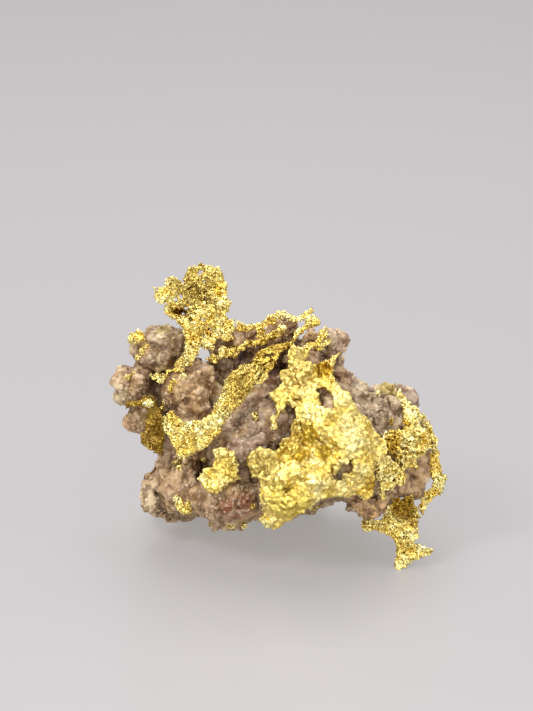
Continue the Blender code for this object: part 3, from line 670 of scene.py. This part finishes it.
def one_crystal(tree):
    """A pointed prism of radius 1, sunk to its shoulders, so that its cap stands on the origin."""
    cone = add(tree, "GeometryNodeMeshCone", take="Mesh",
               named={"Vertices": 6, "Side Segments": 2, "Radius Top": 0.0, "Radius Bottom": 1.0,
                      "Depth": CRYSTAL_LENGTH})
    place = add(tree, "GeometryNodeInputPosition")
    x, y, z = (add(tree, "ShaderNodeSeparateXYZ", place, take=axis) for axis in "XYZ")
    middle = 1.0 - ((z - CRYSTAL_LENGTH / 2).size() * 2.0).at_most(1.0)
    lifted = z + middle * SHOULDER_LIFT
    widened = add(tree, "ShaderNodeCombineXYZ", x * (middle + 1.0), y * (middle + 1.0), lifted)
    crystal = noted(tree, cone, "raised", z.from_to(0.9, CRYSTAL_LENGTH))
    crystal = add(tree, "GeometryNodeSetPosition", crystal, named={"Position": widened})
    crystal = add(tree, "GeometryNodeSetPosition", crystal, named={"Offset": (0, 0, -CRYSTAL_SINK)})
    return add(tree, "GeometryNodeSetShadeSmooth", crystal, named={"Shade Smooth": False})


def druse_tree():
    tree, inlet = new_shape_tree("druse", DRUSE_SIZES)
    place = add(tree, "GeometryNodeInputPosition")
    gold = add(tree, "GeometryNodeObjectInfo", inlet["Gold"], take="Geometry")
    to_gold = add(tree, "GeometryNodeProximity", gold, target_element="FACES", take="Distance")
    bare = add(tree, "FunctionNodeCompare", to_gold, inlet["Clear Of Gold"], operation="GREATER_THAN")
    height = add(tree, "ShaderNodeSeparateXYZ", place, take="Z")
    raised = add(tree, "FunctionNodeCompare", height, FLOOR_CLEARANCE, operation="GREATER_THAN")
    patch = clouds(tree, place, inlet["Patches"], 2.0, (4, 4, 4))
    in_patch = add(tree, "FunctionNodeCompare", patch, inlet["Patch Level"], operation="GREATER_THAN")
    free = add(tree, "FunctionNodeBooleanMath", bare, raised, operation="AND")
    free = add(tree, "FunctionNodeBooleanMath", free, in_patch, operation="AND")
    sites = add(tree, "GeometryNodeDistributePointsOnFaces", distribute_method="POISSON", take="Points",
                named={"Mesh": inlet["Geometry"], "Selection": free, "Distance Min": inlet["Spacing"],
                       "Density Max": MOST_CRYSTALS, "Seed": inlet["Seed"]})
    normal = Wire(tree, sites.socket.node.outputs["Normal"])
    tilt = scaled(tree, random_vector(tree, -1.0, 1.0, 1), inlet["Lean"])
    spin = add(tree, "ShaderNodeCombineXYZ", 0.0, 0.0, random_value(tree, 0.0, FULL_TURN, 2))
    turned = add(tree, "FunctionNodeAlignRotationToVector", axis="Z",
                 named={"Rotation": spin, "Vector": vector_math(tree, "ADD", normal, tilt)})
    growth = random_value(tree, 0.0, 1.0, 3).power(2.0)
    size = growth * (inlet["Largest"] - inlet["Smallest"]) + inlet["Smallest"]
    scale = add(tree, "ShaderNodeCombineXYZ", size, size, size * random_value(tree, 0.6, 1.2, 4))
    druse = add(tree, "GeometryNodeInstanceOnPoints",
                named={"Points": sites, "Instance": one_crystal(tree), "Rotation": turned, "Scale": scale})
    close_tree(tree, druse, inlet["Finish"])
    return tree


DRUSE_TREE = druse_tree()
print("Druse tree ready")

# %% [markdown]
# ## Finishes
# Both finishes are patterns in the model's own space, so they don't slide when the specimen turns. The
# sparkle comes from facets: every small cell of a Voronoi pattern tips the surface its own way, as real
# crystal faces do, so each catches a different part of the studio.

# %% Facets that tip the surface
def new_finish(name, colour, roughness, metallic):
    """A material with a Principled shader, its node tree, and the place on the piece."""
    finish = bpy.data.materials.new(name)
    finish.use_nodes = True
    tree = finish.node_tree
    shader = tree.nodes["Principled BSDF"]
    shader.inputs["Base Color"].default_value = (*colour, 1.0)
    shader.inputs["Roughness"].default_value = roughness
    shader.inputs["Metallic"].default_value = metallic
    place = add(tree, "ShaderNodeTexCoord", take="Object")
    return finish, tree, shader, place


def tipped(tree, place, facet_size, tilt):
    """The surface normal, tipped at random in every cell."""
    cell_value = cells(tree, place, facet_size, take="Color")
    lean = vector_math(tree, "SUBTRACT", cell_value, (0.5, 0.5, 0.5))
    lean = scaled(tree, lean, tilt)
    straight = add(tree, "ShaderNodeNewGeometry", take="Normal")
    return vector_math(tree, "NORMALIZE", vector_math(tree, "ADD", straight, lean))


def blend(tree, factor, first, second):
    """One colour where the factor is 0, the other where it is 1."""
    return add(tree, "ShaderNodeMix", factor, first, second, data_type="RGBA")


def rgb(red, green, blue):
    """A colour picked as screen values, 0 to 255, as the shader wants it."""
    return tuple(((v / 255) ** 2.2) for v in (red, green, blue))


def note(tree, name):
    """A number that a shape tree kept on the points of the piece."""
    return add(tree, "ShaderNodeAttribute", attribute_name=name, take="Fac")


def washed(tree, place, colour, washes, border):
    """Washes each listed region with its own tint, inside a border this cloudy."""
    cloud = clouds(tree, place, 1.1 * MM, 3.0)
    for across, up, depth, reach, tint in washes:
        away = add(tree, "ShaderNodeVectorMath", place, tuple(seen(across, up, depth)),
                   operation="DISTANCE", take="Value")
        wash = 1.0 - (away / (reach * MM) + (cloud - 0.5) * border).from_to(0.6, 1.2)
        colour = blend(tree, wash, colour, (*tint, 1))
    return colour


# %% Gold finish
GOLD = rgb(255, 236, 138)
GOLD_PALE = rgb(255, 246, 176)
GOLD_DEEP = rgb(241, 211, 108)
SATIN_PALE = rgb(255, 240, 164)
SATIN_DEEP = rgb(234, 204, 104)
# The left leaf lies in shade: its darker olive colours are painted shade.
SHADED_PALE = rgb(188, 158, 82)
SHADED_DEEP = rgb(142, 112, 44)
# Painted shade for the low places between the gold's grains.
GOLD_PIT_SHADE = rgb(130, 101, 36)
# Cloudy darker patches on the gold: partly tarnish, partly painted dark reflection.
TARNISH_AND_DARK_REFLECTION = rgb(110, 82, 36)
# Painted shade along the creases of the gold.
CREASE_SHADE = rgb(84, 52, 14)
SHADED_GOLD = [
    # across, up, depth, reach, colour
    (1.5, 7.4, -2.8, 0.90, rgb(206, 178, 78)),
    (1.3, 6.3, -2.8, 0.60, rgb(190, 158, 62)),
    (2.5, 6.4, -2.8, 0.55, rgb(196, 166, 68)),
    (0.4, 6.8, -2.6, 0.70, rgb(214, 190, 98)),
    (-0.9, 5.8, -2.6, 1.20, rgb(203, 181, 104)),
    (0.2, 9.4, -2.0, 0.60, rgb(216, 192, 104)),
    (1.2, 10.8, -1.6, 1.30, rgb(212, 188, 110)),
    (0.6, 3.8, -3.4, 1.40, rgb(234, 208, 106)),
    (2.45, 10.8, -1.0, 0.75, rgb(196, 158, 58)),
    (-0.7, 11.6, -0.2, 1.70, rgb(212, 182, 88)),
    (-2.1, 9.9, -1.8, 1.00, rgb(200, 174, 90)),
    (-4.6, 15.6, 1.0, 1.60, rgb(206, 184, 106)),
    (5.15, 4.7, -2.0, 0.55, rgb(164, 124, 34)),
    (6.9, 3.4, 0.1, 0.95, rgb(156, 124, 50)),
    (7.5, 2.6, 0.0, 0.45, rgb(146, 112, 42)),
    (-5.5, 14.0, 0.9, 0.60, rgb(110, 72, 22)),
    (-3.9, 13.1, 0.6, 0.35, rgb(176, 128, 34)),
    (-4.9, 15.9, 1.2, 0.70, rgb(198, 172, 84)),
    (-3.3, 15.2, 1.0, 0.55, rgb(226, 190, 70)),
    (6.3, 6.9, -1.0, 0.60, rgb(206, 170, 72)),
    (9.0, 5.1, 0.8, 0.40, rgb(200, 166, 70)),
]


def gold_finish(name, deep, pale, pit_shade_share, roughness, facet, tilt):
    finish, tree, shader, place = new_finish(name, GOLD, roughness, 1.0)
    shade = clouds(tree, place, 0.9 * MM, 3.0)
    colour = blend(tree, shade.from_to(0.35, 0.7), (*deep, 1), (*pale, 1))
    colour = washed(tree, place, colour, SHADED_GOLD, 0.5)
    # Painted shade: where the grain is low, by the kept raised number, the colour darkens towards the pit
    # colour.
    pit_shade = note(tree, "raised").from_to(0.55, 0.05)
    colour = blend(tree, pit_shade * pit_shade_share, colour, (*GOLD_PIT_SHADE, 1))
    # Cloudy darker and rougher patches: partly tarnish, partly painted dark reflection.
    stain_and_dark_reflection = clouds(tree, place, 0.5 * MM, 4.0, (3, 1, 2)).from_to(0.66, 0.82)
    colour = blend(tree, stain_and_dark_reflection * 0.7, colour, (*TARNISH_AND_DARK_REFLECTION, 1))
    # Painted shade: the gold is darkened along each crease.
    crease = note(tree, "crease").from_to(0.15, 0.9)
    colour = blend(tree, crease * 0.9, colour, (*CREASE_SHADE, 1))
    plug(tree, shader.inputs["Base Color"], colour)
    plug(tree, shader.inputs["Roughness"], stain_and_dark_reflection * 0.3 + clouds(tree, place, 0.2 * MM) * 0.14 + roughness)
    plug(tree, shader.inputs["Normal"], tipped(tree, place, facet, tilt))
    return finish


BRIGHT_GOLD = gold_finish("bright leaf gold", GOLD_DEEP, GOLD_PALE, 0.75, 0.20, 0.11 * MM, 0.7)
SATIN_GOLD = gold_finish("satin leaf gold", SATIN_DEEP, SATIN_PALE, 0.55, 0.32, 0.13 * MM, 0.30)
# Painted shade: the gold of the left leaf.
GOLD_IN_SHADE = gold_finish("shaded leaf gold", SHADED_DEEP, SHADED_PALE, 0.7, 0.30, 0.11 * MM, 0.5)
GLOSSY_GOLD = gold_finish("glossy leaf gold", GOLD_DEEP, GOLD_PALE, 0.70, 0.18, 0.18 * MM, 0.65)
print("Gold ready, with", len(SHADED_GOLD), "shaded places")

# %% Quartz finish
STONE = rgb(174, 142, 102)
# Pale stone colour, also used as painted highlight on raised places.
STONE_PALE_AND_HIGHLIGHT = rgb(228, 208, 172)
STONE_PINK = rgb(176, 138, 118)
STONE_HONEY = rgb(180, 144, 84)
# Dark stone colour, also used as painted shade in low places.
STONE_SEAM_AND_SHADE = rgb(88, 54, 24)
# Painted shade for cracks and closed-in crevices.
CREVICE_SHADE = rgb(70, 42, 20)
SCATTER_WEIGHT = 0.12
SCATTER_RADIUS = (1.0, 0.7, 0.45)
SCATTER_SCALE = 0.35 * MM
# Local tints of the quartz. Most are its own colours. Some are painted shade: the dark hollows behind the
# plume's stem, under the diagonal leaf and beside the right rim. Some are painted light: the pale left edge
# and the lighter low stones.
TINTS_AND_PAINTED_LIGHT = [
    # across, up, depth, reach, colour
    (-6.6, 12.0, 0.5, 2.0, rgb(124, 98, 66)),
    (-6.4, 13.0, 0.6, 0.55, rgb(164, 144, 76)),
    (-7.4, 12.1, 0.4, 0.50, rgb(176, 140, 70)),
    (-8.2, 10.0, 1.0, 1.6, rgb(172, 138, 98)),
    (-8.9, 9.5, 1.2, 0.7, rgb(206, 188, 148)),
    (-4.9, 9.7, 0.0, 1.7, rgb(174, 138, 94)),
    (-7.8, 8.2, 1.0, 1.2, rgb(180, 144, 100)),
    (-0.5, 12.9, 1.0, 1.8, rgb(162, 122, 80)),
    (-2.4, 11.3, 1.0, 1.0, rgb(122, 92, 72)),
    (2.9, 12.4, 0.8, 1.3, rgb(160, 132, 104)),
    (0.0, 10.6, 1.0, 1.3, rgb(124, 94, 72)),
    (5.5, 8.8, 0.8, 2.2, rgb(172, 152, 122)),
    (6.2, 10.0, 1.6, 0.75, rgb(168, 148, 74)),
    (7.4, 9.2, 3.5, 1.3, rgb(160, 136, 118)),
    (7.3, 5.4, 0.5, 1.8, rgb(196, 160, 116)),
    (8.5, 6.8, 1.2, 0.50, rgb(74, 46, 26)),
    (-1.2, 7.4, -1.5, 2.4, rgb(140, 116, 94)),
    (-2.2, 3.4, -2.0, 1.1, rgb(136, 72, 38)),
    (-5.2, 4.4, 0.5, 1.6, rgb(188, 153, 114)),
    (-7.0, 3.6, 2.0, 1.2, rgb(184, 156, 116)),
    (-7.4, 4.1, 1.6, 0.80, rgb(206, 182, 142)),
    (5.0, 3.3, -0.5, 1.3, rgb(226, 180, 124)),
    (-4.2, 11.6, 1.5, 0.60, rgb(86, 60, 42)),
    (-3.3, 7.0, -0.5, 1.0, rgb(168, 136, 98)),
]


def quartz_finish(name, paleness):
    finish, tree, shader, place = new_finish(name, STONE, 0.4, 0.0)
    shader.inputs["Subsurface Weight"].default_value = SCATTER_WEIGHT
    shader.inputs["Subsurface Radius"].default_value = SCATTER_RADIUS
    shader.inputs["Subsurface Scale"].default_value = SCATTER_SCALE
    # The tints include painted shade and painted light.
    colour = washed(tree, place, (*STONE, 1), TINTS_AND_PAINTED_LIGHT, 0.8)
    blush = clouds(tree, place, 1.0 * MM, 3.0, (6, 6, 1))
    colour = blend(tree, blush.from_to(0.52, 0.66) * 0.40, colour, (*STONE_PINK, 1))
    colour = blend(tree, blush.from_to(0.46, 0.34) * 0.40, colour, (*STONE_HONEY, 1))
    mottle = clouds(tree, place, 0.55 * MM, 4.0, (8, 2, 6))
    grain = clouds(tree, place, 0.16 * MM, 3.0, (3, 9, 4))
    colour = blend(tree, mottle.from_to(0.50, 0.36) * 0.60, colour, (*STONE_SEAM_AND_SHADE, 1))
    colour = blend(tree, grain.from_to(0.46, 0.34) * 0.35, colour, (*STONE_SEAM_AND_SHADE, 1))
    raised = note(tree, "raised")
    # Painted shade: low places, and the bases of the crystals, are darkened.
    colour = blend(tree, raised.from_to(0.40, 0.0) * 0.60, colour, (*STONE_SEAM_AND_SHADE, 1))
    # Painted highlight on raised places and crystal tips, added to the stone's own pale mottle and grain.
    bright = raised.from_to(0.65, 1.0) * 0.40 + mottle.from_to(0.54, 0.68) * 0.45 + paleness
    bright = bright + grain.from_to(0.57, 0.70) * 0.40
    colour = blend(tree, bright.clamped(), colour, (*STONE_PALE_AND_HIGHLIGHT, 1))
    # Painted shade: cracks and closed-in crevices are darkened.
    dark = note(tree, "crease").from_to(0.15, 0.95) * 0.85
    dark = dark + note(tree, "closed in").from_to(0.35, 0.90) * 0.75
    colour = blend(tree, dark.clamped(), colour, (*CREVICE_SHADE, 1))
    plug(tree, shader.inputs["Base Color"], colour)
    plug(tree, shader.inputs["Roughness"], 0.25 + clouds(tree, place, 0.12 * MM) * 0.4)
    plug(tree, shader.inputs["Normal"], tipped(tree, place, 0.22 * MM, 0.42))
    return finish


QUARTZ = quartz_finish("drusy quartz", 0.0)
QUARTZ_TIPS = quartz_finish("quartz tips", 0.15)
print("Quartz ready, with", len(TINTS_AND_PAINTED_LIGHT), "tints")

# %% [markdown]
# ## Growing the pieces
# Each plain solid is regrown in place. Its own tree settings make it lacy, as the plume is, or nearly
# whole, as the front sheet is.

# %% Quartz body
stone = grow("quartz_body", merged_copy("quartz_matrix"), STONE_TREE, QUARTZ, cracks=stone_cracks,
             ridges=stone_ridges)
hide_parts("quartz_matrix")

# %% Quartz crystals
def gathered(nodes):
    """One object that holds the plain solids of several nodes, to measure distances from."""
    bm = bmesh.new()
    for node in nodes:
        bm.from_mesh(bpy.data.objects[node].data)
    mesh = bpy.data.meshes.new("gathered")
    bm.to_mesh(mesh)
    bm.free()
    guard = bpy.data.objects.new("gathered", mesh)
    bpy.context.scene.collection.objects.link(guard)
    return guard


all_gold = gathered(GOLD_NODES)
crystals = grow("quartz_crystals", stone.data.copy(), DRUSE_TREE, QUARTZ_TIPS, gold=all_gold)
bpy.data.objects.remove(all_gold)

# %% Gold leaves
SATIN = dict(lace_level=1.0, bead=0.24 * MM, bead_height=0.07 * MM, worm_height=0.035 * MM,
             lump_height=0.11 * MM, fold_reach=0.12 * MM)
LEAVES = {
    "gold_plume": dict(lace_level=0.59, lace_size=0.42 * MM, worm=0.13 * MM, ragged=0.13 * MM),
    "gold_top_ribbon": dict(lace_level=0.64, ragged=0.13 * MM),
    "gold_diagonal_leaf": dict(lace_level=0.66, worm=0.14 * MM, worm_height=0.13 * MM, bead_height=0.03 * MM,
                               cell=0.055 * MM),
    "gold_front_sheet": dict(SATIN, cell=0.06 * MM),
    "gold_front_patch": dict(SATIN, lump_size=0.5 * MM, swell=0.02 * MM),
    "gold_right_rim": dict(lace_level=0.64, ragged=0.13 * MM),
    "gold_right_leaf": dict(lace_level=0.63, worm=0.26 * MM, worm_height=0.14 * MM, ragged=0.12 * MM,
                            bead_height=0.03 * MM, lump_height=0.12 * MM, fold_reach=0.3 * MM),
    "gold_right_tongue": dict(lace_level=0.66, worm=0.20 * MM, worm_height=0.13 * MM, ragged=0.14 * MM,
                              fold_reach=0.3 * MM),
    "gold_tail": dict(lace_level=0.62, lace_size=0.35 * MM, ragged=0.12 * MM),
    "gold_left_leaf": dict(lace_level=0.68),
    "gold_left_flake": dict(lace_level=0.70),
    "gold_foot_flake": dict(lace_level=0.70),
    "gold_slab_strand": dict(lace_level=0.68, ragged=0.13 * MM),
    "gold_top_strand": dict(lace_level=0.68, ragged=0.13 * MM),
}
FINISHES = {
    "gold_front_sheet": SATIN_GOLD, "gold_front_patch": SATIN_GOLD, "gold_left_leaf": GOLD_IN_SHADE,
    "gold_right_leaf": GLOSSY_GOLD, "gold_foot_flake": GLOSSY_GOLD,
}
for node, sizes in LEAVES.items():
    finish = FINISHES.get(node, BRIGHT_GOLD)
    leaf = grow("grainy_" + node, merged_copy(node), GOLD_TREE, finish, creases=gold_creases, **sizes)
    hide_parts(node)

# %% Growing the flecks
flecks = grow("gold_flecks", gold_flecks, FLECK_TREE, BRIGHT_GOLD)
for guide in (gold_creases, stone_cracks, stone_ridges):
    bpy.data.objects.remove(guide)

# %% [markdown]
# ## The studio
# A pale, slightly glossy floor curves up into a backdrop, and glows a little so that its shadows stay
# pale. Four soft lights stand around the specimen: overhead, a key light at the upper left, a fill light
# at the right and a low one in front. The room is pale but less bright than the lights, so the gold
# mirrors bright and darker parts.

# %% Floor and backdrop
FLOOR_WIDTH = 1000 * MM
FLOOR_FRONT = -500 * MM
FLOOR_BACK = 230 * MM
BEND = 60 * MM
BEND_STEPS = 12
BACKDROP_HEIGHT = 500 * MM
GLOW_HEIGHTS = (5 * MM, 70 * MM)
GLOW_STRENGTH = 0.45
FLOOR_GLOW = (0.70, 0.675, 0.64)
BACKDROP_GLOW = (0.92, 0.88, 0.92)


def floor_profile():
    """The floor and the backdrop seen from the side: depth and height."""
    points = [(FLOOR_FRONT, 0.0), (FLOOR_BACK, 0.0)]
    for step in range(1, BEND_STEPS + 1):
        turn = math.radians(90 * step / BEND_STEPS)
        points.append((FLOOR_BACK + BEND * math.sin(turn), BEND * (1 - math.cos(turn))))
    return points + [(FLOOR_BACK + BEND, BACKDROP_HEIGHT)]


bm = bmesh.new()
rows = [[bm.verts.new((side * FLOOR_WIDTH / 2, y, z)) for side in (-1, 1)] for y, z in floor_profile()]
for near, far in zip(rows, rows[1:]):
    bm.faces.new((near[0], near[1], far[1], far[0]))
floor_mesh = bpy.data.meshes.new("floor")
bm.to_mesh(floor_mesh)
bm.free()
for polygon in floor_mesh.polygons:
    polygon.use_smooth = True
floor = bpy.data.objects.new("floor", floor_mesh)
bpy.context.scene.collection.objects.link(floor)
floor_finish, tree, shader, place = new_finish("pale floor", rgb(108, 106, 110), 0.35, 0.0)
shader.inputs["Emission Strength"].default_value = GLOW_STRENGTH
height = add(tree, "ShaderNodeSeparateXYZ", place, take="Z")
glow = blend(tree, height.from_to(*GLOW_HEIGHTS), (*FLOOR_GLOW, 1), (*BACKDROP_GLOW, 1))
plug(tree, shader.inputs["Emission Color"], glow)
plug(tree, shader.inputs["Roughness"], 0.3 + clouds(tree, place, 20 * MM) * 0.15)
floor.data.materials.append(floor_finish)

# %% Lights
LIGHTS_FACE = (0, 8, 2)
WHITE = (1, 1, 1)
WARM_WHITE = (1.0, 0.98, 0.94)
LIGHTS = [
    # name, across, up, depth, size, power, colour
    ("overhead", 0, 120, 10, 90, 0.12, WHITE),
    ("key", -90, 90, -90, 50, 0.15, WARM_WHITE),
    ("fill", 110, 50, -60, 80, 0.05, WHITE),
    ("low front", 0, 12, -160, 140, 0.10, WHITE),
]


def soft_light(name, across, up, depth, size, power, colour):
    """A square soft box that faces the middle of the specimen."""
    data = bpy.data.lights.new(name, "AREA")
    data.size = size * MM
    data.energy = power
    data.color = colour
    light = bpy.data.objects.new(name, data)
    bpy.context.scene.collection.objects.link(light)
    light.location = seen(across, up, depth)
    facing = seen(*LIGHTS_FACE) - light.location
    light.rotation_euler = facing.to_track_quat("-Z", "Y").to_euler()


for settings in LIGHTS:
    soft_light(*settings)

# %% Room
ROOM_COLOUR = (0.80, 0.80, 0.84)
ROOM_STRENGTH = 0.66
world = bpy.data.worlds.new("pale room")
world.use_nodes = True
background = world.node_tree.nodes["Background"]
background.inputs["Color"].default_value = (*ROOM_COLOUR, 1)
background.inputs["Strength"].default_value = ROOM_STRENGTH
bpy.context.scene.world = world
bpy.context.scene.view_settings.view_transform = "Standard"
